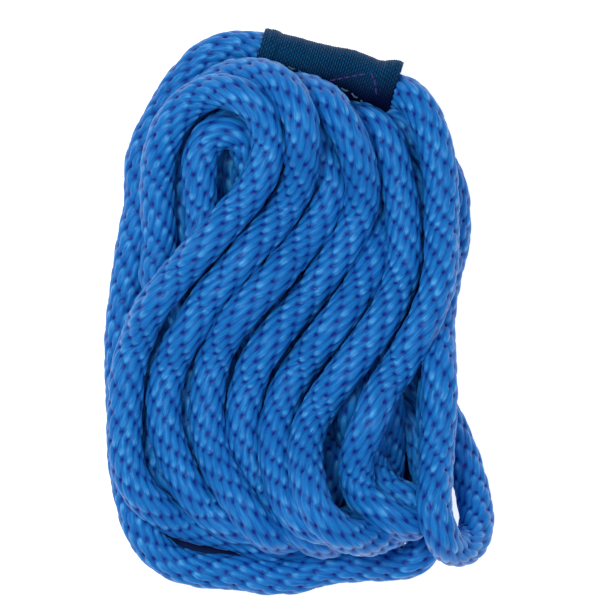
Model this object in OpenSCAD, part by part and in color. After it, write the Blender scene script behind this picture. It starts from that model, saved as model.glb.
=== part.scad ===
// Tow rope handle: one braided rope wound into a flat hank for storage, with a sewn
// webbing sleeve round the outer turn as the hand grip.
// X runs across the hank, Y along it towards the sleeve, Z up from the surface it lies on.
// The origin is under the middle of the hank, on that surface.

/* [Rope] */
// Diameter of the braided rope
rope_d = 12.7; // [12.5:0.1:12.9]
// Sides of each swept rope tube
tube_sides = 10; // [8:1:12]

/* [Hank] */
// Height of the wound bundle, full outline
hank_h = 36; // [34:0.5:38]
// Height of the upper layer of turns that lies on it
crown_h = 9; // [7:0.5:10]
// How far the upper layer is set in from the outline
crown_inset = 9; // [6:0.5:12]
// Steps of the outline curve between two of its points
outline_steps = 3; // [2:1:4]

/* [Webbing sleeve] */
// Length of the sleeve, which is the width of the webbing
sleeve_l = 50.8; // [48:0.1:52]
// Thickness of one layer of webbing
webbing_t = 1.6; // [1.4:0.1:1.8]
// Radial clearance between the rope and the sleeve
sleeve_gap = 0.08; // [0.05:0.01:0.1]
// Reach of the sewn flange from the rope's axis
flange_reach = 11.5; // [10.5:0.1:11.8]
// Length of the raised hem at each end
hem_l = 6.4; // [4:0.1:8]
// Height of the raised hem
hem_rise = 0.35; // [0.2:0.05:0.4]

/* [Stitching] */
// Diameter of the sewing thread
thread_d = 0.9; // [0.7:0.1:1.1]
// Stitches in the seam along the flange
seam_stitches = 11; // [8:1:14]
// Length of each seam stitch
stitch_l = 2.8; // [2:0.1:3]
// Length of the crossed bar tack
tack_l = 13; // [10:0.5:15]

/* [Hidden] */

rope_r = rope_d / 2;
floor_gap = 0.1;
low_z = rope_r + floor_gap;              // rope that lies on the surface
high_z = low_z + rope_d + 0.3;           // rope that crosses over one strand
sleeve_bore_r = rope_r + sleeve_gap;
sleeve_r = sleeve_bore_r + webbing_t;
flange_t = 2 * webbing_t;                // two layers sewn together
sleeve_centre = [11, 85.5, sleeve_r + hem_rise + floor_gap];
sleeve_angle = -17;                      // the grip run falls towards the right
travel_left = 5;                         // the sleeve slides this far to the left
travel_right = 1;                        // and this far to the right, where the rope bends
joint_lap = 1;                           // the tubes lap this far over the run
run_reach_left = sleeve_l / 2 + travel_left + joint_lap;
run_reach_right = sleeve_l / 2 + travel_right + joint_lap;
lead = 3;                                // straight rope beyond each end of the run
round_fn = 48;
thread_fn = 16;

// The outer turn, from the sleeve's left end down the left side and along the bottom,
// then up under the end bight.
outer_turn_route = [
    on_run(-run_reach_left + joint_lap), on_run(-run_reach_left - lead),
    [-30, 93, low_z], [-37, 87.5, low_z], [-42, 81, low_z],
    [-46.5, 72, low_z], [-51, 60, low_z], [-54.5, 46, low_z], [-58, 30, low_z],
    [-61, 14, low_z], [-63, -2, low_z], [-63.4, -16, low_z], [-62.6, -31, low_z],
    [-62.4, -46, low_z], [-61.4, -61, low_z], [-58, -75, low_z], [-52, -86, low_z],
    [-44, -92, low_z], [-32, -94.5, low_z], [-16, -94.8, low_z], [0, -94, low_z],
    [18, -92.3, low_z], [33, -91.7, low_z], [41, -90, low_z], [45.5, -86, low_z],
    [47, -80, low_z], [47.5, -73, low_z]];

// The right turn, from the sleeve's right end over the strand beside it and into the hank.
right_turn_route = [
    on_run(run_reach_right - joint_lap), on_run(run_reach_right + lead),
    [44.5, 71, 12], [47.5, 62, 17], [49.8, 52, high_z], [51, 42, high_z],
    [51.2, 30, high_z], [50.5, 16, high_z], [48, 3, high_z], [43, -8, high_z]];

// The end bight: a strand down the lower right side, round a loop and back under itself.
end_bight_route = [
    [49.8, -24, high_z], [50, -34, high_z], [49.4, -46, high_z], [48.6, -58, high_z],
    [47.4, -69, high_z], [47.4, -76.5, 20], [49.8, -82.7, 20], [54.8, -86.6, 17],
    [60, -86.4, 12], [63.3, -81.5, 8], [63.5, -74, low_z], [62.6, -66, low_z],
    [60.4, -57, low_z], [57.6, -50, low_z], [54.4, -42.5, low_z], [50.5, -36, low_z]];

// Outline of the bundle of turns, seen from above, anticlockwise from the upper left.
hank_outline = [
    [-30, 82], [-43, 77], [-51, 66], [-55, 50], [-56.5, 30], [-58, 6], [-63, -12],
    [-68, -32], [-69, -50], [-66, -64], [-58, -76], [-44, -86], [-20, -90], [4, -89],
    [26, -86], [42, -83], [51, -74], [54, -58], [55, -34], [56, -8], [58.5, 14],
    [61, 34], [58, 51], [50, 60.5], [37, 64], [11, 72], [-10, 78.2]];

// A point on the axis of the grip run, at a distance from the middle of the sleeve.
function on_run(distance) =
    sleeve_centre + distance * [cos(sleeve_angle), sin(sleeve_angle), 0];
function unit(v) = v / norm(v);
function heading(route, i) =
    unit(route[min(i + 1, len(route) - 1)] - route[max(i - 1, 0)]);
function ring(centre, forward, r) =
    let (side = unit(cross([0, 0, 1], forward)), lift = cross(forward, side))
    [for (k = [0:tube_sides - 1])
        let (a = 360 * (k + 0.5) / tube_sides)
        centre + r * (cos(a) * side + sin(a) * lift)];
function curve_point(p0, p1, p2, p3, t) =
    0.5 * (2 * p1 + (p2 - p0) * t + (2 * p0 - 5 * p1 + 4 * p2 - p3) * t * t
        + (3 * p1 - p0 - 3 * p2 + p3) * t * t * t);
function closed_curve(points, steps) =
    let (n = len(points))
    [for (i = [0:n - 1], s = [0:steps - 1])
        curve_point(points[(i + n - 1) % n], points[i], points[(i + 1) % n],
            points[(i + 2) % n], s / steps)];
// A point moved towards the inside of a closed anticlockwise outline.
function inset_point(points, i, depth) =
    let (n = len(points), along = unit(points[(i + 1) % n] - points[(i + n - 1) % n]))
    points[i] + depth * [-along[1], along[0]];
function inset_outline(points, depth) =
    [for (i = [0:len(points) - 1]) inset_point(points, i, depth)];

module rope_tube(route) {
    n = len(route);
    s = tube_sides;
    points = [for (i = [0:n - 1]) each ring(route[i], heading(route, i), rope_r)];
    walls = [for (i = [0:n - 2], k = [0:s - 1])
        [i * s + k, i * s + (k + 1) % s, (i + 1) * s + (k + 1) % s, (i + 1) * s + k]];
    first = [for (k = [0:s - 1]) s - 1 - k];
    last = [for (k = [0:s - 1]) (n - 1) * s + k];
    polyhedron(points, concat([first], [last], walls));
}

// Local frame of the sleeve: X along the rope, Y away from the hank, Z up.
module at_sleeve() {
    translate(sleeve_centre) rotate([0, 0, sleeve_angle]) children();
}

module along_x(r, l) {
    rotate([0, 90, 0]) cylinder(r=r, h=l, center=true, $fn=round_fn);
}

module stitch(from, to) {
    way = to - from;
    translate(from) rotate([0, 90, atan2(way[1], way[0])])
        cylinder(d=thread_d, h=norm(way), $fn=thread_fn);
}

module rope_hank() {
    outline = closed_curve(hank_outline, outline_steps);
    crown = closed_curve(inset_outline(hank_outline, crown_inset), outline_steps);
    color("royalblue") {
        linear_extrude(hank_h) polygon(outline);
        linear_extrude(hank_h + crown_h) polygon(crown);
    }
}

module rope_outer_turn() {
    color("royalblue") rope_tube(outer_turn_route);
}

module rope_grip_run() {
    color("royalblue") at_sleeve()
        translate([(run_reach_right - run_reach_left) / 2, 0, 0])
            along_x(rope_r, run_reach_left + run_reach_right);
}

module rope_right_turn() {
    color("royalblue") rope_tube(right_turn_route);
}

module rope_end_bight() {
    color("royalblue") rope_tube(end_bight_route);
}

module webbing_sleeve() {
    color("midnightblue") at_sleeve() difference() {
        union() {
            along_x(sleeve_r, sleeve_l);
            for (end = [-1, 1])
                translate([end * (sleeve_l - hem_l) / 2, 0, 0])
                    along_x(sleeve_r + hem_rise, hem_l);
            translate([-sleeve_l / 2, -flange_reach, -sleeve_r])
                cube([sleeve_l, flange_reach, flange_t]);
        }
        along_x(sleeve_bore_r, sleeve_l + 2);
    }
}

// Height of the flange's upper face in the sleeve's frame.
flange_top = flange_t - sleeve_r;
seam_y = 1.2 - flange_reach;

module seam_stitching() {
    pitch = (sleeve_l - 2 * hem_l) / seam_stitches;
    color("slategray") at_sleeve()
        for (i = [0:seam_stitches - 1])
            let (x = (i + 0.5 - seam_stitches / 2) * pitch)
                stitch([x - stitch_l / 2, seam_y, flange_top],
                       [x + stitch_l / 2, seam_y, flange_top]);
}

module cross_stitching() {
    tack_x = 6;
    near_y = seam_y + 0.6 + thread_d / 2;
    far_y = -sleeve_r - 0.1;
    color("indigo") at_sleeve()
        for (flip = [0, 1])
            stitch([tack_x - tack_l / 2, flip ? near_y : far_y, flange_top],
                   [tack_x + tack_l / 2, flip ? far_y : near_y, flange_top]);
}

rope_hank();
rope_outer_turn();
rope_grip_run();
rope_right_turn();
rope_end_bight();
webbing_sleeve();
seam_stitching();
cross_stitching();
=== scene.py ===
"""A tow rope handle: one braided rope in a flat hank, with a webbing sleeve as its grip.

Lengths are millimetres in the CAD frame, unless a comment says metres, and MM turns them into
metres. The rope's plan is made of points picked along each strand and scaled to
millimetres. A small contact solver then lets it settle under its own weight, so that its
turns lie on and beside each other.
"""

import math

import bpy
import numpy as np
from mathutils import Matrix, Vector


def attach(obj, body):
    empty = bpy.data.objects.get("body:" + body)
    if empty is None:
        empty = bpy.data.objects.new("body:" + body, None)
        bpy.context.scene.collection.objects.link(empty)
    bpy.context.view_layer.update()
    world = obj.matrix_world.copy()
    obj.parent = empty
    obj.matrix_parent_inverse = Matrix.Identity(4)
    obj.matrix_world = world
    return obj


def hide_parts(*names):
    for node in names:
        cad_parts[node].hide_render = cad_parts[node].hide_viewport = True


MM = 0.001
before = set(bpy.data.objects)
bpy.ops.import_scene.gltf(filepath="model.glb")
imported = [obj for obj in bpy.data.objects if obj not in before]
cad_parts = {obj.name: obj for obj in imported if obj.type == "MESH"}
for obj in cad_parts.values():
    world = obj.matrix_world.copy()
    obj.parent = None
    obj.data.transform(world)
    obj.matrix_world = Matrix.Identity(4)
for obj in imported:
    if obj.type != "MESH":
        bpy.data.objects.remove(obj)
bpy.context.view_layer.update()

# ---------------------------------------------------------------- sizes
ROPE_D = 12.7
ROPE_R = ROPE_D / 2
SLEEVE_LENGTH = 50.8
HALF_SLEEVE = SLEEVE_LENGTH / 2
SLEEVE_CENTRE = np.array([11.0, 85.5, 8.48])
SLEEVE_ANGLE = math.radians(-17)
SLEEVE_AXIS = np.array([math.cos(SLEEVE_ANGLE), math.sin(SLEEVE_ANGLE), 0.0])
SLEEVE_SIDE = np.array([-math.sin(SLEEVE_ANGLE), math.cos(SLEEVE_ANGLE), 0.0])
SLEEVE_R = 8.1               # outer radius of the sleeve, which other strands keep off
WEB_T = 1.5                  # thickness of the webbing


# ---------------------------------------------------------------- lines and meshes
def lengths_along(line):
    """How far along the line each of its points is."""
    return np.concatenate([[0], np.cumsum(np.linalg.norm(np.diff(line, axis=0), axis=1))])


def spline_parts(points, steps):
    """For each stretch between two points: the four points that shape it, and the places
    from 0 to 1 along it."""
    p = np.vstack([2 * points[0] - points[1], points, 2 * points[-1] - points[-2]])
    a, b, c, d = (p[k:len(p) - 3 + k, None, :] for k in range(4))
    t = np.linspace(0, 1, steps, endpoint=False)[None, :, None]
    return a, b, c, d, t


def catmull_rom(points, steps):
    """A smooth line through the points, with that many steps between two of them."""
    a, b, c, d, t = spline_parts(points, steps)
    line = 0.5 * (2 * b + (c - a) * t + (2 * a - 5 * b + 4 * c - d) * t ** 2
                  + (3 * b - a - 3 * c + d) * t ** 3)
    return np.vstack([line.reshape(-1, points.shape[1]), points[-1:]])


def b_spline(points, steps):
    """A smooth line near the points, which evens out small steps in the solver's line."""
    a, b, c, d, t = spline_parts(points, steps)
    line = ((1 - t) ** 3 * a + (3 * t ** 3 - 6 * t ** 2 + 4) * b
            + (-3 * t ** 3 + 3 * t ** 2 + 3 * t + 1) * c + t ** 3 * d) / 6
    return line.reshape(-1, 3)


def evenly(line, step, *along):
    """The line with points about step apart, and what goes along with it."""
    at = lengths_along(line)
    new = np.linspace(0, at[-1], int(round(at[-1] / step)) + 1)
    spread = [np.stack([np.interp(new, at, v[:, k]) for k in range(v.shape[1])], 1)
              for v in (line, *along)]
    return spread


def carried_frames(line):
    """For each point the way along, and two ways across that turn as little as they can."""
    way = np.gradient(line, axis=0)
    way /= np.linalg.norm(way, axis=1)[:, None]
    side = np.empty_like(way)
    side[0] = np.cross(way[0], (0.1, 0.2, 1.0))
    side[0] /= np.linalg.norm(side[0])
    for k in range(1, len(way)):
        carried = side[k - 1] - way[k] * (side[k - 1] @ way[k])
        side[k] = carried / np.linalg.norm(carried)
    return way, side, np.cross(way, side)


def rings_round(line, radius, angle):
    """Rings of points round the line, at each ring's radii and at the same angles."""
    _, side, lift = carried_frames(line)
    return (line[:, None] + radius[..., None]
            * (np.cos(angle)[None, :, None] * side[:, None]
               + np.sin(angle)[None, :, None] * lift[:, None]))


def link(obj):
    bpy.context.scene.collection.objects.link(obj)
    return obj


def add_mesh(name, points, faces):
    """A smooth-shaded mesh from points in metres."""
    mesh = bpy.data.meshes.new(name)
    mesh.from_pydata([tuple(p) for p in points], [], faces)
    mesh.update()
    mesh.polygons.foreach_set("use_smooth", [True] * len(mesh.polygons))
    return link(bpy.data.objects.new(name, mesh))


def add_values(obj, name, values):
    """Writes one number for each point of the mesh."""
    layer = obj.data.attributes.new(name, "FLOAT", "POINT")
    layer.data.foreach_set("value", values.astype(np.float32).ravel())


def add_vectors(obj, name, vectors):
    """Writes one vector for each point of the mesh."""
    layer = obj.data.attributes.new(name, "FLOAT_VECTOR", "POINT")
    layer.data.foreach_set("vector", vectors.astype(np.float32).ravel())


def grid_faces(rows, columns, closed):
    """Quads of a grid of points, row by row. A closed grid joins its last column to its first."""
    r, c = np.meshgrid(np.arange(rows - 1), np.arange(columns if closed else columns - 1),
                       indexing="ij")
    r, c = r.ravel(), c.ravel()
    after = (c + 1) % columns
    return np.stack([r * columns + c, r * columns + after, (r + 1) * columns + after,
                     (r + 1) * columns + c], 1).tolist()


def tube_faces(rings, sides, start=0):
    """The faces of a tube of rings with both ends closed, from the point numbered start."""
    faces = [[start + q for q in face] for face in grid_faces(rings, sides, True)]
    faces.append([start + q for q in range(sides)][::-1])
    faces.append([start + (rings - 1) * sides + q for q in range(sides)])
    return faces


# ---------------------------------------------------------------- materials
class Surface:
    """A material, and short ways to add the nodes that its shader is fed from."""

    def __init__(self, name):
        self.material = bpy.data.materials.new(name)
        self.material.use_nodes = True
        self.nodes = self.material.node_tree.nodes

    def feed(self, socket, value):
        """Links another node's output to the socket, or sets the socket to a plain value."""
        if isinstance(value, bpy.types.NodeSocket):
            self.material.node_tree.links.new(value, socket)
        else:
            socket.default_value = value

    def add(self, kind, inputs, output, **settings):
        """A node with its settings and inputs. Gives one of its outputs."""
        node = self.nodes.new("ShaderNode" + kind)
        for name, value in settings.items():
            setattr(node, name, value)
        for name, value in inputs.items():
            self.feed(node.inputs[name], value)
        return node.outputs[output]

    def shade(self, inputs):
        """Feeds the shader, and gives the finished material."""
        for name, value in inputs.items():
            self.feed(self.nodes["Principled BSDF"].inputs[name], value)
        return self.material

    def attribute(self, name, output="Fac"):
        return self.add("Attribute", {}, output, attribute_name=name)

    def stretched(self, place, scale):
        return self.add("Mapping", {"Vector": place, "Scale": scale}, "Vector")

    def noise(self, place, scale, detail, roughness=0.5):
        inputs = {"Vector": place, "Scale": scale, "Detail": detail, "Roughness": roughness}
        return self.add("TexNoise", inputs, "Fac")

    def ramp(self, value, *stops):
        """A colour for each value. The stops are (value, colour), from low to high."""
        colour = self.add("ValToRGB", {"Fac": value}, "Color")
        elements = colour.node.color_ramp.elements
        for element, (position, _) in zip(elements, (stops[0], stops[-1])):
            element.position = position
        for position, _ in stops[1:-1]:
            elements.new(position)
        for element, (_, rgb) in zip(elements, stops):
            element.color = (*rgb, 1)
        return colour

    def spread(self, value, low, high, to_low=0.0, to_high=1.0, kind="LINEAR"):
        """The value with low to high spread over to_low to to_high, and no further."""
        inputs = {"Value": value, "From Min": low, "From Max": high, "To Min": to_low,
                  "To Max": to_high}
        return self.add("MapRange", inputs, "Result", interpolation_type=kind)

    def times(self, a, b):
        return self.add("Math", {0: a, 1: b}, "Value", operation="MULTIPLY")

    def mix(self, factor, a, b, blend="MIX"):
        inputs = {"Factor": factor, "A": a, "B": b}
        return self.add("Mix", inputs, "Result", data_type="RGBA", blend_type=blend)

    def bump(self, height, strength, distance):
        """A bumped normal. The distance is in metres."""
        inputs = {"Height": height, "Strength": strength, "Distance": distance}
        return self.add("Bump", inputs, "Normal")


def rope_material():
    """Blue filaments, with painted shade that darkens them low in the braid and most in its pits,
    and painted glints where they bend over at the full end of a stitch."""
    look = Surface("rope_fibre")
    straight = look.attribute("straight_rope", "Vector")
    crown = look.attribute("crown")
    fibre = look.noise(look.stretched(straight, (2.1, 2.1, 0.24)), 1.0, 4.0, 0.6)
    # painted shade: the blue darkens low in the braid, between the crowns of its stitches
    blue_with_depth_shade = look.ramp(crown, (0.30, (0.009, 0.070, 0.36)), (0.62, (0.009, 0.165, 0.52)),
                          (0.94, (0.014, 0.250, 0.66)))
    by_fibre = look.ramp(fibre, (0.32, (0.45, 0.5, 0.72)), (0.66, (1.25, 1.2, 1.1)))
    blue = look.mix(0.8, blue_with_depth_shade, by_fibre, "MULTIPLY")

    # painted glints: a lighter blue on the crest at a stitch's full end, stronger on some stitches
    # than on others
    full_end = look.spread(look.attribute("stitch_place"), 0.06, 0.34, kind="SMOOTHSTEP")
    on_crest = look.times(full_end, look.spread(crown, 0.66, 0.90))
    own_tone = look.spread(look.attribute("stitch_tone"), 0.10, 0.85, 0.10)
    glint = look.times(look.spread(fibre, 0.30, 0.62), own_tone)
    lit = look.mix(look.times(on_crest, glint), blue, (0.115, 0.51, 0.92, 1))
    # painted shade: the colour goes to a dark blue in the braid's pits
    pit_shade = look.spread(look.attribute("pit"), 0.15, 0.75, kind="SMOOTHSTEP")

    worn_patches = look.noise(straight, 0.16, 2.0)
    return look.shade({
        "Base Color": look.mix(pit_shade, lit, (0.010, 0.018, 0.23, 1)),
        "Roughness": look.spread(worn_patches, 0.3, 0.7, 0.30, 0.50),
        "Normal": look.bump(fibre, 0.22, 0.00025),
        "Specular IOR Level": 0.35,
        "Specular Tint": (0.35, 0.72, 1.0, 1),
        "Sheen Weight": 0.05,
        "Sheen Roughness": 0.4,
        "Sheen Tint": (0.45, 0.7, 1.0, 1),
    })


def webbing_material():
    """Navy ribs, with painted shade in their grooves and painted violet shade towards the free edge
    on the upper face, and some wear.
    """
    look = Surface("navy_webbing")
    flat = look.attribute("flat_webbing", "Vector")
    # painted shade: the ribs' navy darkens to near black in the grooves between them
    rib = look.ramp(look.attribute("weave"), (0.30, (0.002, 0.004, 0.025)),
                    (0.95, (0.0044, 0.098, 0.225)))
    # painted shade: a darker violet towards the free edge on the upper face
    along_rib = look.add("SeparateXYZ", {"Vector": flat}, "Y")
    edge_shade = look.spread(along_rib, 30.0, 42.0, kind="SMOOTHSTEP")
    ribs = look.mix(edge_shade, rib, (0.8, 0.10, 0.28, 1), "MULTIPLY")
    wear = look.noise(look.stretched(flat, (2.6, 0.9, 1.0)), 1.0, 3.0)
    fine = look.noise(look.stretched(flat, (9.0, 2.2, 1.0)), 1.0, 3.0)
    return look.shade({
        "Base Color": look.mix(1.0, ribs, look.spread(wear, 0.3, 0.7, 0.55, 1.35), "MULTIPLY"),
        "Normal": look.bump(fine, 0.5, 0.0001),
        "Roughness": 0.6,
        "Specular IOR Level": 0.12,
        "Specular Tint": (0.2, 0.6, 0.9, 1),
    })


def thread_material(name, colour):
    """Twisted sewing thread: the colour varies along it a little."""
    look = Surface(name)
    noise = look.noise(look.add("TexCoord", {}, "Object"), 900.0, 2.0)
    darker = tuple(0.55 * c for c in colour)
    return look.shade({
        "Base Color": look.ramp(noise, (0.3, darker), (0.7, colour)),
        "Roughness": 0.45,
    })


def paper_material(name, colour, glow):
    """The stage's paper, and how strongly it shines on its own."""
    return Surface(name).shade({
        "Base Color": (*colour, 1),
        "Roughness": 0.95,
        "Specular IOR Level": 0.1,
        "Emission Color": (1, 1, 1, 1),
        "Emission Strength": glow,
    })


# ---------------------------------------------------------------- camera, light, floor
VIEW_CENTRE = (0.36 * MM, 3.04 * MM)
VIEW_WIDTH = 214.6 * MM
VIEW_PLANE = 18 * MM         # the height at which the view is that wide
LENS = 300.0
SENSOR = 36.0
FAR_CLIP = 10                # metres

# Each light is a disk: name, place and diameter in metres, watts, colour. All of them shine
# at the origin.
LIGHTS = [
    ("key", (-0.30, 0.16, 1.15), 0.30, 6.5, (0.92, 1.0, 0.98)),
    ("fill", (0.30, -0.30, 1.2), 0.9, 2.4, (0.92, 0.96, 1.0)),
]
WORLD_COLOUR = (0.84, 0.70, 1.0, 1)
WORLD_STRENGTH = 0.37

# Painted shade: a dark sheet under the hank stands for the deep shade there. The outline of that
# sheet, in millimetres.
SHADED_PAPER = [(-40, 82), (-52, 55), (-58, 20), (-59, -30), (-57, -60), (-50, -80), (-36, -89),
                (0, -89), (22, -88), (29, -82), (38, -78), (43, -66), (45, -40), (45, 0),
                (47, 36), (40, 58), (24, 70), (2, 78), (-20, 86)]
SHADE_STEPS = 6              # between two points of that outline
SHADE_LIFT = 0.05 * MM       # keeps the shaded paper just above the floor
FLOOR_HALF = 3.0             # metres


def make_camera():
    data = bpy.data.cameras.new("camera")
    data.lens = LENS
    data.sensor_width = SENSOR
    data.clip_end = FAR_CLIP
    camera = link(bpy.data.objects.new("camera", data))
    distance = VIEW_WIDTH * LENS / SENSOR
    camera.location = (*VIEW_CENTRE, VIEW_PLANE + distance)
    bpy.context.scene.camera = camera


def area_light(name, place, diameter, power, colour):
    data = bpy.data.lights.new(name, "AREA")
    data.shape = "DISK"
    data.size = diameter
    data.energy = power
    data.color = colour
    light = link(bpy.data.objects.new(name, data))
    light.location = place
    light.rotation_mode = "QUATERNION"
    light.rotation_quaternion = (-Vector(place)).to_track_quat("-Z", "Y")


def make_lights():
    for light in LIGHTS:
        area_light(*light)
    world = bpy.data.worlds.new("studio")
    world.use_nodes = True
    background = world.node_tree.nodes["Background"]
    background.inputs["Color"].default_value = WORLD_COLOUR
    background.inputs["Strength"].default_value = WORLD_STRENGTH
    bpy.context.scene.world = world
    bpy.context.scene.view_settings.view_transform = "Standard"


def lay_paper(name, corners, material):
    """One flat sheet of the stage, from its corners in metres."""
    mesh = bpy.data.meshes.new(name)
    mesh.from_pydata(corners, [], [list(range(len(corners)))])
    mesh.materials.append(material)
    link(bpy.data.objects.new(name, mesh))


def make_floor():
    h = FLOOR_HALF
    lay_paper("floor", [(-h, -h, 0), (h, -h, 0), (h, h, 0), (-h, h, 0)],
              paper_material("floor_paper", (0.93, 0.93, 0.93), 0.75))
    outline = catmull_rom(np.array(SHADED_PAPER + SHADED_PAPER[:1], float), SHADE_STEPS)[:-1]
    # painted shade: the dark sheet under the hank
    lay_paper("shaded_paper", [(x * MM, y * MM, SHADE_LIFT) for x, y in outline],
              paper_material("shaded_paper", (0.008, 0.022, 0.088), 0.0))


# ---------------------------------------------------------------- the rope's plan
# Each stretch is (points in plan, storey, hold). The storey is the height that the stretch
# is dropped from, which settles what lies over what. The hold says how firmly it keeps its
# plan: the turns that show hold theirs, and the hidden ones give way.
FLOOR = ROPE_R
SHOWN = 0.8
TAIL = 0.3
HIDDEN = 0.06
FOOT_Y = -60                 # a front strand's foot lies below this, on its own storey

# The turns' front strands, each from its hidden start over the top and down to its tail.
FRONT_STRANDS = [
    [(-50.5, 30), (-51, 42.5), (-49.5, 55), (-46, 65), (-39, 73.5), (-30, 77.5),
     (-20.5, 76.5), (-14, 71.5), (-11, 64), (-11, 56), (-14, 46.5), (-19, 39),
     (-25.5, 31.5), (-33.5, 22.5), (-41.5, 14), (-48.5, 5.5), (-54.5, -3), (-58, -12),
     (-61, -20), (-62, -32.5), (-62.5, -43.5), (-62, -52.5), (-60, -60.5), (-56, -67.5),
     (-49.5, -73), (-41.5, -77), (-32, -79.5), (-19.5, -81)],
    [(-46, 45), (-45, 58), (-40, 70), (-33.5, 78), (-27.5, 81), (-21, 83), (-13, 82),
     (-7, 79), (-2, 73.5), (1, 66.5), (2, 58.5), (1.5, 51.5), (-0.5, 44), (-5, 36),
     (-10.5, 29), (-17.5, 21), (-24, 13), (-32, 4), (-37, -3.5), (-42, -11.5),
     (-45.5, -19), (-48, -27.5), (-48.5, -34.5), (-48, -43.5), (-45.5, -51.5),
     (-42.5, -58.5), (-38.5, -65.5), (-33.5, -71.5), (-26.5, -76.5), (-17.5, -79),
     (-8, -80)],
    [(-35, 46), (-32, 59), (-26, 68), (-17, 73), (-7, 72.5), (3, 67.5), (8, 58.5), (11, 51.5),
     (11.5, 43.5), (10, 37), (7, 30), (1.5, 23.5), (-4.5, 16.5), (-10.5, 9.5),
     (-16.5, 3), (-23.5, -5), (-28.5, -13), (-31, -19), (-32, -26.5), (-33, -33.5),
     (-32.5, -41.5), (-31, -49), (-28.5, -55), (-25.5, -61.5), (-21, -68.5),
     (-15.5, -74), (-8.5, -78.5), (0, -80)],
    [(-26, 52), (-21, 68), (-13, 77), (-5, 78), (2, 75.5), (8, 72.5), (14, 67.5),
     (18, 61.5), (21, 53), (23, 43.5), (22, 36), (19.5, 28), (15.5, 21), (11, 14.5),
     (6, 8), (1.5, 2), (-6, -5.5), (-12, -13.5), (-16, -20.5), (-18, -27),
     (-19.5, -33.5), (-20, -42.5), (-19, -49), (-17.5, -55), (-14.5, -63.5),
     (-11, -69.5), (-6, -75.5), (1, -79.5)],
    [(-14, 56), (-5, 66), (5, 70), (14.5, 67.5), (21, 58.5), (24.5, 48), (27, 37),
     (27.5, 28), (26.5, 19), (24, 11), (19.5, 4), (14.5, -3.5), (9.5, -10),
     (4.5, -15.5), (-0.5, -22.5), (-4.5, -28.5), (-6, -34), (-8, -41.5), (-8, -49),
     (-8, -56), (-5.5, -63), (-2.5, -70.5), (4, -77)],
    [(-6, 60), (1, 70), (10, 74), (18, 71), (23.5, 66.5), (28.5, 61), (32, 54),
     (35, 46), (37, 37.5), (37.5, 30), (37.5, 21), (36.5, 13), (34, 4), (30, -3.5),
     (26, -9.5), (22.5, -14), (16.5, -22.5), (9.5, -32), (5.5, -38), (3, -44),
     (2, -50.5), (2, -58), (3, -65), (6.5, -72), (11, -77.5), (18, -81)],
]
FRONT_STOREYS = [250, 202, 189, 176, 163, 150]
# Each turn's tail at the bottom, and its way back under the others to where the next front
# strand starts. The ways back lie in the grooves between the front strands.
TAILS = [
    [(-6, -82), (4, -80), (6, -72)],
    [(0, -77), (3, -69)],
    [(5, -77), (5, -69)],
    [(9, -80.5), (16, -77), (19, -69)],
    [(12, -80.5), (21, -79), (26.5, -72)],
    [(26, -80), (34, -77.5), (41, -74), (46, -67)],
]
WAYS_BACK = [
    [(0, -62), (-11, -54), (-14, -40), (-13, -26), (-12, -12), (-20, 4), (-31, 20), (-41, 34)],
    [(0, -56), (-4, -42), (-3, -28), (-1, -14), (-8, 4), (-20, 22), (-30, 36)],
    [(3, -57), (2.5, -48), (4, -36), (8, -24), (6, -8), (-3, 10), (-14, 28), (-23, 42)],
    [(20, -56), (20, -38), (19, -18), (14, -2), (6, 14), (-3, 32), (-11, 46)],
    [(28.5, -60), (29, -46), (29, -32), (28, -18), (25, -2), (18, 14), (12, 30), (6, 46),
     (-4, 54)],
]
FOOT_STOREYS = [20, 59, 72, 85, 98, 111]


def turn_stretches(turn):
    """One turn of the hank: its front strand, its foot and tail, and its way back."""
    front = [q for q in FRONT_STRANDS[turn] if q[1] > FOOT_Y]
    foot = [q for q in FRONT_STRANDS[turn] if q[1] <= FOOT_Y]
    storey = FOOT_STOREYS[turn]
    stretches = [(front, FRONT_STOREYS[turn], SHOWN), (foot, storey, SHOWN),
                 (TAILS[turn], storey, TAIL)]
    if turn < len(WAYS_BACK):
        stretches.append((WAYS_BACK[turn], storey, HIDDEN))
    return stretches


def on_run(distance):
    """A point of the straight grip run, in plan."""
    return tuple((SLEEVE_CENTRE + distance * SLEEVE_AXIS)[:2])


# The small inner loop at the upper left, where the rope starts.
INNER_LOOP = [
    ([(-18, -66), (-24, -52), (-26, -36), (-24, -20), (-22, -5), (-20, 10), (-19.5, 25)],
     10, 0.2),
    ([(-18, 36), (-16.5, 47)], 150, 0.5),
    ([(-17.5, 56.5), (-21.5, 63), (-27, 64.5), (-33, 60.5), (-35.3, 53), (-35.5, 45),
      (-35, 36), (-33, 27)], 236, SHOWN),
    ([(-38, 14), (-46, 0), (-52, -14), (-55, -28), (-55, -42), (-52, -54), (-46, -63),
      (-38, -64), (-35.5, -54), (-40, -38), (-40, -22), (-43, -6), (-47, 9), (-50, 20)],
     33, 0.12),
]
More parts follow.
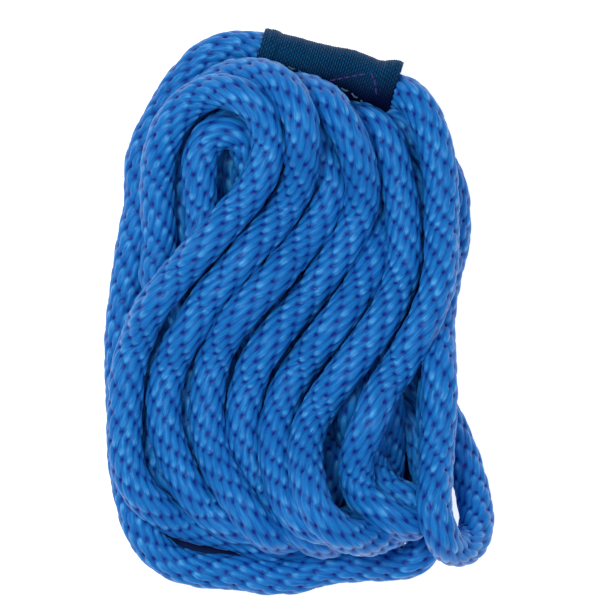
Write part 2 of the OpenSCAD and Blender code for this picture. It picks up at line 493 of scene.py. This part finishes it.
# After the last turn: up the right side under the others, over its top, down the right
# edge and round the end bight.
RIGHT_EDGE = [
    ([(48.5, -56), (48.5, -42), (48, -28), (47, -12), (46, 2), (45, 16), (44.5, 30),
      (41.5, 46), (34, 56), (27, 62), (24, 68), (29, 71),
      (36, 65.5), (43, 58), (50, 51)], 118, 0.3),
    ([(55, 40.5), (55, 32.5), (54, 24.5), (52, 15.5), (50.5, 6.5), (49.5, -4),
      (49.5, -15)], 124, SHOWN),
    ([(50, -27.5), (50, -35.5), (49.5, -43.5), (49, -50.5), (48.5, -58), (47.5, -66.5),
      (47, -72)], 160, SHOWN),
    ([(48.5, -79)], 150, SHOWN),
    ([(51.5, -84.5)], 100, SHOWN),
    ([(56.5, -87), (61, -86), (63.5, -81.5), (64, -75), (62.5, -66.5),
      (60, -56.5), (57, -49.5), (54, -42.5), (50.5, -37)], 8, SHOWN),
    ([(43.5, -28), (34.5, -16), (22, -10), (14, -18), (18, -30), (28, -36), (36.8, -36.5),
      (43, -44), (46, -55), (46.5, -65), (46.5, -75.7)], FLOOR, 0.3),
]
# The outer turn: along the bottom and up the left side, on the floor.
OUTER_TURN = [
    ([(45.8, -84.6), (42.6, -90), (34.3, -91.7), (21.8, -92.1), (7.5, -93.2),
      (-6.8, -94.3), (-19.3, -95), (-31.8, -94.6), (-40.8, -93.2), (-47.9, -90),
      (-53.3, -85), (-56.9, -78.5), (-59.4, -70.3), (-61.5, -61.3), (-62.6, -52.4),
      (-62.2, -41.7), (-62.6, -30.9), (-63.3, -20.2), (-63.3, -11.3), (-63, -2.3),
      (-61.9, 6.6), (-60.8, 14.5), (-59.4, 22.7), (-57.6, 31.7), (-55.8, 40.6),
      (-54, 48.8), (-52.2, 56.7), (-49.7, 63.9), (-46.9, 71), (-43.6, 78.2),
      (-39.3, 84.6), (-34.3, 89.6), (-28.3, 92.8), (-21.1, 93.8)], FLOOR, SHOWN),
]
GRIP_RUN = [([on_run(d) for d in (-27, -13, 0, 13, 25)], SLEEVE_CENTRE[2], 1.0)]
# From the sleeve's right end over the right edge and down the last front strand.
RIGHT_TURN = [
    ([(42, 73)], 60, SHOWN),
    ([(45.5, 67.5)], 100, SHOWN),
    ([(48, 61), (49.8, 53), (51, 44), (51.2, 35), (51, 26.5), (51, 17.5), (49.5, 8.5),
      (47.5, 2), (43.5, -7.5), (39.5, -15), (34.5, -22.5), (29.5, -29), (27, -35),
      (25, -41), (21.5, -48), (20.3, -55)], 137, SHOWN),
    ([(20.4, -61), (23, -67.5), (28, -72.8), (34.5, -75.8)], 125, SHOWN),
    ([(40.5, -77.4), (45.3, -76.4), (46.8, -72), (43, -69)], 119, SHOWN),
    ([(37, -68), (31, -65.5), (26, -58), (24.5, -48), (27, -40)], 112, SHOWN),
]


# ---------------------------------------------------------------- settling the rope
PLAN_STEPS = 10              # between two points of the plan's tables
STEP = 5.0                   # between two points of the solver's line
REST_LINK = STEP * 1.02      # the length that each link tends to
SKIP = 4                     # neighbours along the rope that can't touch

STACK_ROUNDS = 900
STACK_PASSES = 3
STACK_FAST_SHARE = 0.45      # of the rounds are fast ones
STACK_DROPS = (1.2, 0.25)    # how far a fast and a slow round lower the rope
STACK_REACH = 0.97 * ROPE_D  # strands closer than this in plan lie on each other
STACK_TOUCH = 0.99 * ROPE_D
STACK_SMOOTHING = 0.3
STACK_SHARE = 0.8            # of an overlap that one pass takes away

SETTLE_ROUNDS = 1000
SETTLE_PASSES = 2            # over the links, and over the contacts, in each round
SETTLE_FAST_SHARE = 0.5
SETTLE_DROPS = (0.4, 0.12)
TOUCH = 0.965 * ROPE_D       # a braided rope gives a little where it is pressed
PAIR_REACH = 1.35 * ROPE_D   # pairs this close are watched, and looked for again now and then
PAIR_ROUNDS = 8
PLAN_PULL = 0.5
STIFFNESS = 0.12
LINK_PULL = 0.35
CONTACT_SHARE = 1.3          # over 1, because pushes are averaged where strands crowd

TIGHTEST_BEND = 8.0          # tighter folds of the rope's middle line are opened towards this
EASING_ROUNDS = 80
EASING = 0.2

RUN_REACH = 29               # the straight run is held this far to each side of the sleeve's middle
RUN_WIDTH = 1.5
RUN_STARTS = 0.6             # share of the rope's points that come before the straight run


def separate(values, first, second, push, share):
    """Moves pairs apart by push, averaged where a point is in several pairs."""
    total = np.zeros_like(values)
    count = np.zeros(len(values))
    np.add.at(total, first, push)
    np.add.at(total, second, -push)
    np.add.at(count, first, 1)
    np.add.at(count, second, 1)
    count = np.maximum(count, 1)
    values += share * (total / (count[:, None] if values.ndim == 2 else count))


def drop(drops, step, fast_rounds):
    return drops[0] if step < fast_rounds else drops[1]


def stack_heights(plan, storeys):
    """Lowers the storeys onto each other with the plan fixed: what started higher stays over."""
    z = storeys.copy()
    apart = np.sqrt(((plan[:, None] - plan[None]) ** 2).sum(-1))
    i, j = np.where(np.triu(apart < STACK_REACH, SKIP))
    needed = np.sqrt(np.maximum(STACK_TOUCH ** 2 - apart[i, j] ** 2, 0))
    over = np.where(z[i] > z[j], i, j)
    under = np.where(z[i] > z[j], j, i)
    for step in range(STACK_ROUNDS):
        z -= drop(STACK_DROPS, step, STACK_FAST_SHARE * STACK_ROUNDS)
        z[1:-1] += STACK_SMOOTHING * ((z[:-2] + z[2:]) / 2 - z[1:-1])
        for _ in range(STACK_PASSES):
            short = needed - (z[over] - z[under])
            bad = short > 0
            separate(z, over[bad], under[bad], short[bad], STACK_SHARE)
            z = np.maximum(z, FLOOR)
    return z


def close_pairs(p):
    square = (p ** 2).sum(1)
    far = square[:, None] + square[None] - 2 * p @ p.T
    return np.where(np.triu(far < PAIR_REACH ** 2, SKIP))


def keep_lengths(p):
    """Pulls each link towards its rest length."""
    for _ in range(SETTLE_PASSES):
        span = p[1:] - p[:-1]
        long = np.linalg.norm(span, axis=1)
        pull = span / long[:, None] * ((long - REST_LINK) * LINK_PULL)[:, None]
        p[:-1] += pull
        p[1:] -= pull


def push_apart(p, i, j):
    """Pushes the pairs that overlap out of each other, half each."""
    gap = p[i] - p[j]
    long = np.linalg.norm(gap, axis=1)
    bad = long < TOUCH
    push = gap[bad] / long[bad, None] * (TOUCH - long[bad])[:, None] * 0.5
    separate(p, i[bad], j[bad], push, CONTACT_SHARE)


def keep_off_sleeve(p, fixed):
    """Pushes the other strands out of the webbing sleeve."""
    away = p - SLEEVE_CENTRE
    along = away @ SLEEVE_AXIS
    across = away - along[:, None] * SLEEVE_AXIS
    far = np.linalg.norm(across, axis=1)
    bad = (np.abs(along) < HALF_SLEEVE) & (far < ROPE_R + SLEEVE_R) & ~fixed
    p[bad] += across[bad] / far[bad, None] * (ROPE_R + SLEEVE_R - far[bad])[:, None]


def relax(p, plan, hold, fixed):
    """Lets the rope settle in space: weight, plan, stiffness, length and contact."""
    place = p.copy()
    for step in range(SETTLE_ROUNDS):
        if step % PAIR_ROUNDS == 0:
            i, j = close_pairs(p)
        p[:, 2] -= drop(SETTLE_DROPS, step, SETTLE_FAST_SHARE * SETTLE_ROUNDS)
        p[:, :2] += PLAN_PULL * hold[:, None] * (plan - p[:, :2])
        p[2:-2] += STIFFNESS * ((-p[:-4] + 4 * p[1:-3] + 4 * p[3:-1] - p[4:]) / 6 - p[2:-2])
        keep_lengths(p)
        for _ in range(SETTLE_PASSES):
            push_apart(p, i, j)
            keep_off_sleeve(p, fixed)
        p[:, 2] = np.maximum(p[:, 2], FLOOR)
        p[fixed] = place[fixed]
    return p


def ease_bends(p):
    """Opens the bends that are tighter than TIGHTEST_BEND a little."""
    for _ in range(EASING_ROUNDS):
        before = p[1:-1] - p[:-2]
        after = p[2:] - p[1:-1]
        long = np.linalg.norm(before, axis=1) * np.linalg.norm(after, axis=1)
        turn = np.arccos(np.clip((before * after).sum(1) / long, -1, 1))
        tight = np.where(turn * TIGHTEST_BEND > STEP)[0] + 1
        p[tight] += EASING * ((p[tight - 1] + p[tight + 1]) / 2 - p[tight])
    return p


def planned_rope():
    """The rope's plan about STEP apart, with the storey and the hold of each point."""
    stretches = list(INNER_LOOP)
    for turn in range(len(FRONT_STRANDS)):
        stretches += turn_stretches(turn)
    stretches += RIGHT_EDGE + OUTER_TURN + GRIP_RUN + RIGHT_TURN
    points = np.array([q for route, _, _ in stretches for q in route], float)
    facts = np.array([(storey, hold) for route, storey, hold in stretches for _ in route])
    line = catmull_rom(points, PLAN_STEPS)
    at = np.linspace(0, len(points) - 1, len(line))
    facts = np.stack([np.interp(at, np.arange(len(points)), facts[:, k]) for k in (0, 1)], 1)
    return evenly(line, STEP, facts)


def rope_line():
    """The settled centreline of the whole rope, about STEP apart."""
    plan, facts = planned_rope()
    from_centre = plan - SLEEVE_CENTRE[:2]
    along = from_centre @ SLEEVE_AXIS[:2]
    across = np.abs(from_centre @ SLEEVE_SIDE[:2])
    last_part = np.arange(len(plan)) > RUN_STARTS * len(plan)
    in_sleeve = (np.abs(along) < RUN_REACH) & (across < RUN_WIDTH) & last_part
    z = stack_heights(plan, facts[:, 0])
    p = np.column_stack([plan, z])
    p[in_sleeve] = SLEEVE_CENTRE + along[in_sleeve, None] * SLEEVE_AXIS
    return ease_bends(relax(p, plan, facts[:, 1], in_sleeve))


# ---------------------------------------------------------------- the braided rope
SMOOTH_STEPS = 8             # between two points of the solver's line
RING_STEP = 1.0
COLUMNS = 15                 # stitch columns round the rope, a multiple of three
SIDES = COLUMNS * 5
STITCH = 9.7                 # from one stitch to the next along a column
COLUMN_TWIST = 0.3           # columns that a column drifts round the rope per stitch length
STITCH_TILT = 0.35           # columns that a stitch leans over per stitch length
STITCH_HALF_WIDTH = 0.76     # in columns
CREST = 0.14                 # stitch lengths from a stitch's middle to its highest place
RISE = 0.74                  # stitch lengths from its start up to there
DIVE = 0.36                  # stitch lengths from there down to its end
PIT_WIDTH = 0.34             # in columns
PIT_LENGTH = 0.072           # in stitch lengths
PIT_PLACE = 0.53             # stitch lengths past a stitch's middle
PIT_DEPTH = 0.25             # share of the braid's height
# No two stitches are alike: the least share, and what a stitch's own tone adds to it.
OWN_TILT = (0.85, 0.3)
OWN_HEIGHT = (0.93, 0.07)
OWN_CREST = 0.04             # stitch lengths that the tone moves the crest
BRAID_DEPTH = 1.5
CORE_R = ROPE_R - 1.05
CORE_HEIGHT = 0.15           # the braid's height where the rope is as thick as its core
FIBRE_LEAN = 0.40            # slope of the filaments against the rope's axis
END_LENGTH = 4.0             # over which each end of the rope rounds off
END_LEAST = 0.04             # so that the very end keeps 0.2 of the radius, the root of this
PAPER_GAP = 0.0002           # metres between the rope and the paper it lies on


def stitch_tone(column, number):
    """A number from 0 to 1 that looks random and is always the same for one stitch."""
    return np.modf(np.abs(43.7 * np.sin(12.9898 * column + 78.233 * number)))[0]


def braid_height(column, along):
    """Height of the braid from 0 to 1 on a crown, and a little under 0 in a bare pit.

    Each stitch rises gently, is fullest near its end and dives there into a pit. The stitches
    of a column follow each other, a third of a stitch behind those of the next column.
    The second result is the place along the stitch, from about -0.6 to 0.5 at its full end,
    and the third is the stitch's own tone, because no two stitches are alike. The last is 1
    in the middle of a pit.
    """
    height = np.zeros(np.broadcast(column, along).shape)
    place = np.zeros(height.shape)
    tone = np.zeros(height.shape)
    pit = np.zeros(height.shape)
    for shift in (-1, 0, 1):
        c = np.floor(column) + shift
        phase = along / STITCH + c / 3
        for m in (-1, 0, 1):
            number = np.floor(phase) + m
            once_round = number - c // COLUMNS * (COLUMNS // 3)
            own = stitch_tone(c % COLUMNS, once_round)
            t = phase - (number + 0.5)
            a = column - c - 0.5 - STITCH_TILT * (OWN_TILT[0] + OWN_TILT[1] * own) * t
            past_crest = t - CREST - OWN_CREST * own
            reach = np.where(past_crest > 0, DIVE, RISE)
            dome = 1 - (a / STITCH_HALF_WIDTH) ** 2 - (past_crest / reach) ** 2
            dome = np.sqrt(np.maximum(dome, 0)) * (OWN_HEIGHT[0] + OWN_HEIGHT[1] * own)
            place = np.where(dome > height, t, place)
            tone = np.where(dome > height, own, tone)
            height = np.maximum(height, dome)
            hollow = np.exp(-(a / PIT_WIDTH) ** 2 - ((t - PIT_PLACE) / PIT_LENGTH) ** 2)
            pit = np.maximum(pit, hollow)
    return height - PIT_DEPTH * pit, place, tone, pit


def rounded_ends(at):
    """The share of its radius that the rope has at each place along it."""
    from_end = np.minimum(at, at[-1] - at)
    return np.sqrt(np.clip(1 - (1 - np.clip(from_end / END_LENGTH, 0, 1)) ** 2, END_LEAST, 1))


def straight_rope(at, angle):
    """Each point's place on the rope laid straight, with the filaments along Z."""
    leaning = angle[None] - FIBRE_LEAN * at[:, None] / ROPE_R
    return np.stack([ROPE_R * np.cos(leaning), ROPE_R * np.sin(leaning),
                     np.broadcast_to(at[:, None], leaning.shape)], -1).reshape(-1, 3)


def make_rope(settled):
    """The rope, and its centreline in metres."""
    line = evenly(b_spline(settled, SMOOTH_STEPS), RING_STEP)[0]
    at = lengths_along(line)
    turn = np.arange(SIDES) / SIDES
    angle = 2 * math.pi * turn
    column = turn[None] * COLUMNS - COLUMN_TWIST * at[:, None] / STITCH
    height, place, tone, pit = braid_height(column, at[:, None])
    radius = (CORE_R + BRAID_DEPTH * (height - CORE_HEIGHT)) * rounded_ends(at)[:, None]
    points = rings_round(line, radius, angle).reshape(-1, 3) * MM
    points[:, 2] = np.maximum(points[:, 2], PAPER_GAP)
    rope = add_mesh("braided_rope", points, tube_faces(len(line), SIDES))
    add_vectors(rope, "straight_rope", straight_rope(at, angle))
    shades = {"crown": height, "stitch_place": place, "stitch_tone": tone, "pit": pit}
    for name, values in shades.items():
        add_values(rope, name, values)
    return rope, line * MM


# ---------------------------------------------------------------- the webbing sleeve
# The sleeve's own frame: t along its axis, s across it (towards the hank's outside), u up.
SLEEVE_SHIFT = -0.9          # from the CAD sleeve's middle, along its axis
WRAP_R = 7.45                # middle of the webbing where it wraps the rope
FLANGE_U = (-4.35, -2.75)    # middle of the webbing's lower and upper layer in the flange
RIB = 0.86                   # pitch of the webbing's warp ribs, which run round the rope
PICK = 1.5                   # pitch of the weave along a rib
RIB_HEIGHT = 0.26
RIB_ROUNDNESS = 0.6          # under 1 makes the ribs full and the grooves between them narrow
PICK_HEIGHT = (0.6, 0.4)     # of a rib between two picks, and what a pick adds
SKIN_WEAVE = 0.6             # the weave's height that lies at the webbing's own thickness
RIB_COLUMNS = 295
WRAP_ROWS = 134
ARC_POINTS = 200
FLANGE_POINTS = 40
SELVEDGE = 6.4               # width of the thick woven edge at each end
LEFT_RISE = 0.95             # how far it stands out at the left end
RIGHT_RISE = 0.45
LEFT_DIP = 0.7               # of the left edge's last few millimetres
ROUNDING = 0.8               # of both edges' last millimetre
LOOPS_FROM = 24.3            # from the sleeve's middle, and they are full 1.1 further out
LOOPS_RAMP = 1.1
LOOP_PITCH = 2.2             # of the weft's loops along each cut edge
LOOP_HEIGHT = 0.22
INNER_SHADE = 0.4            # times the outer skin's weave, so that the inner skin is darker, as painted shade
SLEEVE_LOWEST = 0.15         # above the paper
# Shallow waves in the webbing: height, and how fast each goes along t and round the wrap.
WAVES = [(0.16, 0.31, 0.22, 0.6), (0.11, 0.72, -0.35, 0), (0.07, 1.9, 0.5, 0)]


def flange_reach(t):
    return np.interp(t, (-HALF_SLEEVE, 0, HALF_SLEEVE), (8.6, 9.8, 10.4))


def looseness(t):
    """How far the wrap stands off the rope on its outer side."""
    return np.interp(t, (-25, -20, -6, 8, 17, 19, 22.5, HALF_SLEEVE),
                     (-0.1, -0.3, 0.2, 1.5, 0.8, 1.2, 2.3, 2.5))


def selvedge_rise(t):
    """The thick woven edges stand out at both ends."""
    left = np.clip((-t - HALF_SLEEVE + SELVEDGE) / 1.2, 0, 1)
    right = np.clip((t - HALF_SLEEVE + SELVEDGE) / 0.8, 0, 1)
    dip = LEFT_DIP * np.clip((-t - 22.7) / 0.8, 0, 1)
    rounded = ROUNDING * np.clip((np.abs(t) - 24.2) / 1.2, 0, 1) ** 2
    return (LEFT_RISE * left ** 2 * (3 - 2 * left) + RIGHT_RISE * right ** 2 * (3 - 2 * right)
            - dip - rounded)


def tangent_angle(point, turn):
    """Where a straight line from the point meets the wrap's circle, as an angle."""
    away = math.hypot(*point)
    return math.atan2(point[1], point[0]) + turn * math.acos(WRAP_R / away)


def wrap_section(t):
    """The webbing's middle line at t, its outward normals, and the length along it.

    The line is (s, u) from the flange's lower tip, under the rope, round its outer side and
    over its top to the flange's upper tip.
    """
    lower, upper = ((-flange_reach(t), u) for u in FLANGE_U)
    first = tangent_angle(lower, 1)
    last = tangent_angle(upper, -1) % (2 * math.pi)
    angle = np.linspace(first, last, ARC_POINTS)
    round_rope = WRAP_R * np.stack([np.cos(angle), np.sin(angle)], 1)
    line = np.vstack([np.linspace(lower, round_rope[0], FLANGE_POINTS)[:-1], round_rope,
                      np.linspace(round_rope[-1], upper, FLANGE_POINTS)[1:]])
    line[:, 0] += looseness(t) * np.clip(line[:, 0], 0, None) / WRAP_R
    at = lengths_along(line)
    new = np.linspace(0, at[-1], WRAP_ROWS)
    line = np.stack([np.interp(new, at, line[:, k]) for k in (0, 1)], 1)
    way = np.gradient(line, axis=0)
    way /= np.linalg.norm(way, axis=1)[:, None]
    return line, np.stack([way[:, 1], -way[:, 0]], 1), new


def weave_relief(t, along):
    """Ribs round the rope, each a chain of picks that alternate from rib to rib."""
    rib = np.floor(t / RIB)
    ridge = np.abs(np.sin(np.pi * t / RIB)) ** RIB_ROUNDNESS
    pick = 0.5 + 0.5 * np.cos(2 * np.pi * along / PICK + np.pi * rib)
    return ridge * (PICK_HEIGHT[0] + PICK_HEIGHT[1] * pick)


def slack(t, along):
    """How far the webbing's waves lift it."""
    return sum(h * np.sin(by_t * t + by_along * along + start)
               for h, by_t, by_along, start in WAVES)


def sleeve_space(t, s, u):
    """Points of the sleeve's own frame in the shared frame, in millimetres."""
    t, s, u = (np.asarray(v, float)[..., None] for v in (t, s, u))
    return (SLEEVE_CENTRE + (t + SLEEVE_SHIFT) * SLEEVE_AXIS + s * SLEEVE_SIDE
            + u * np.array([0.0, 0.0, 1.0]))


def edge_loops(t, along):
    """How far the weft's small loops stand out along t at the two cut edges."""
    edge = np.clip((np.abs(t) - LOOPS_FROM) / LOOPS_RAMP, 0, 1)
    return LOOP_HEIGHT * np.cos(2 * np.pi * along / LOOP_PITCH) * edge * np.sign(t)


def upper_share(out):
    """1 where the webbing faces up, and down to 0 where it faces down."""
    return np.clip(0.4 + 0.8 * out[..., 1], 0, 1)


def two_skins(rows, columns):
    """The faces of two grids of points, one inside the other, joined along their rims."""
    inner = rows * columns
    faces = [face[::-1] for face in grid_faces(rows, columns, False)]
    faces += [[k + inner for k in face] for face in grid_faces(rows, columns, False)]
    grid = np.arange(inner).reshape(rows, columns)
    rim = np.concatenate([grid[0], grid[1:, -1], grid[-1, -2::-1], grid[-2:0:-1, 0]])
    after = np.roll(rim, -1)
    return faces + np.stack([rim, after, after + inner, rim + inner], 1).tolist()


def make_sleeve():
    columns = np.linspace(-HALF_SLEEVE, HALF_SLEEVE, RIB_COLUMNS)
    sections = [wrap_section(t) for t in columns]
    line, out, along = (np.stack([section[k] for section in sections], 1) for k in range(3))
    t = np.broadcast_to(columns, along.shape)
    weave = weave_relief(t, along)
    wave = slack(t, along) * upper_share(out)
    rise = selvedge_rise(t) * upper_share(out)
    outer = WEB_T / 2 + rise + RIB_HEIGHT * (weave - SKIN_WEAVE)
    skins = []
    for offset in (outer, -WEB_T / 2):
        place = line + out * (offset + wave)[..., None]
        skin = sleeve_space(t + edge_loops(t, along), place[..., 0], place[..., 1])
        skins.append(skin.reshape(-1, 3))
    points = np.vstack(skins)
    points[:, 2] = np.maximum(points[:, 2], SLEEVE_LOWEST)
    sleeve = add_mesh("webbing_wrap", points * MM, two_skins(*along.shape))
    # painted shade: the inner skin's lower weave values darken its colour
    inner_weave = INNER_SHADE * weave
    add_values(sleeve, "weave", np.concatenate([weave.ravel(), inner_weave.ravel()]))
    flat = np.stack([t.ravel(), along.ravel(), np.zeros(along.size)], 1)
    add_vectors(sleeve, "flat_webbing", np.vstack([flat, flat]))
    return sleeve


# ---------------------------------------------------------------- the threads
THREAD_R = 0.36
THREAD_SIDES = 10
THREAD_PLY = 0.13            # how far the two plies stand out, as a share of the radius
THREAD_TWIST = 2.0           # radians per millimetre
STITCH_POINTS = 11
STITCH_ARCH = 0.95           # a stitch's middle is this much higher than its two ends
STITCH_SUNK = 0.6            # and its ends lie this far inside the webbing

# Runs of (t, s) on the sleeve, and the length of their stitches and of the gaps between.
SEAM_STITCH = (2.8, 1.3)
TACK_STITCH = (2.2, 0.35)
SEAM_RUN = [[(-22, -2.6), (-6, -3.6), (2, -4.2), (10, -5.0), (14, -6.0), (19, -7.8),
             (23.5, -8.6)]]
TACK_RUNS = [[(2, -3.4), (8, -0.6), (15.5, 2.8)], [(15.5, 2.8), (18, -0.2), (20, -4.2)]]


def on_sleeve(t, s, lift):
    """A point lift above the sleeve's upper face."""
    line, out, along = wrap_section(t)
    top = np.argmax(line[:, 0])
    order = np.argsort(line[top:, 0])
    across = line[top:, 0][order]
    u = np.interp(s, across, line[top:, 1][order])
    normal = np.array([np.interp(s, across, out[top:, k][order]) for k in (0, 1)])
    here = np.interp(s, across, along[top:][order])
    height = WEB_T / 2 + selvedge_rise(np.array(t)) + slack(t, here) + lift
    return sleeve_space(t, s + normal[0] * height, u + normal[1] * height)


def stitch_rings(run, at, begin, length):
    """One stitch of two-ply thread, which starts that far along the run."""
    where = np.linspace(begin, begin + length, STITCH_POINTS)
    rise = np.sin(np.linspace(0, np.pi, STITCH_POINTS)) ** 0.5
    line = np.array([on_sleeve(np.interp(w, at, run[:, 0]), np.interp(w, at, run[:, 1]),
                               STITCH_ARCH * h - STITCH_SUNK) for w, h in zip(where, rise)])
    angle = 2 * np.pi * np.arange(THREAD_SIDES) / THREAD_SIDES
    twist = THREAD_TWIST * np.linspace(0, length, STITCH_POINTS)
    ply = THREAD_R * (1 + THREAD_PLY * np.cos(2 * (angle[None] - twist[:, None])))
    return rings_round(line, ply, angle).reshape(-1, 3)


def add_stitches(name, runs, length, gap):
    """Sews stitches along runs of (t, s) on the sleeve. Each dips into the webbing."""
    stitches = []
    for run in runs:
        run = np.array(run, float)
        at = lengths_along(run)
        for k in range(int((at[-1] + gap) / (length + gap))):
            stitches.append(stitch_rings(run, at, k * (length + gap), length))
    faces = []
    for k in range(len(stitches)):
        faces += tube_faces(STITCH_POINTS, THREAD_SIDES, k * STITCH_POINTS * THREAD_SIDES)
    return add_mesh(name, np.vstack(stitches) * MM, faces)


# ---------------------------------------------------------------- build
make_camera()
make_lights()
make_floor()

rope, rope_path = make_rope(rope_line())
rope.data.materials.append(rope_material())
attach(rope, "rope")
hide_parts("rope_hank", "rope_outer_turn", "rope_grip_run", "rope_right_turn",
            "rope_end_bight")

sleeve = make_sleeve()
sleeve.data.materials.append(webbing_material())
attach(sleeve, "sleeve")
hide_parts("webbing_sleeve")

seam = add_stitches("seam_thread_stitches", SEAM_RUN, *SEAM_STITCH)
seam.data.materials.append(thread_material("seam_thread", (0.10, 0.26, 0.30)))
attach(seam, "sleeve")
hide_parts("seam_stitching")

tack = add_stitches("tack_thread_stitches", TACK_RUNS, *TACK_STITCH)
tack.data.materials.append(thread_material("tack_thread", (0.040, 0.030, 0.20)))
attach(tack, "sleeve")
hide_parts("cross_stitching")
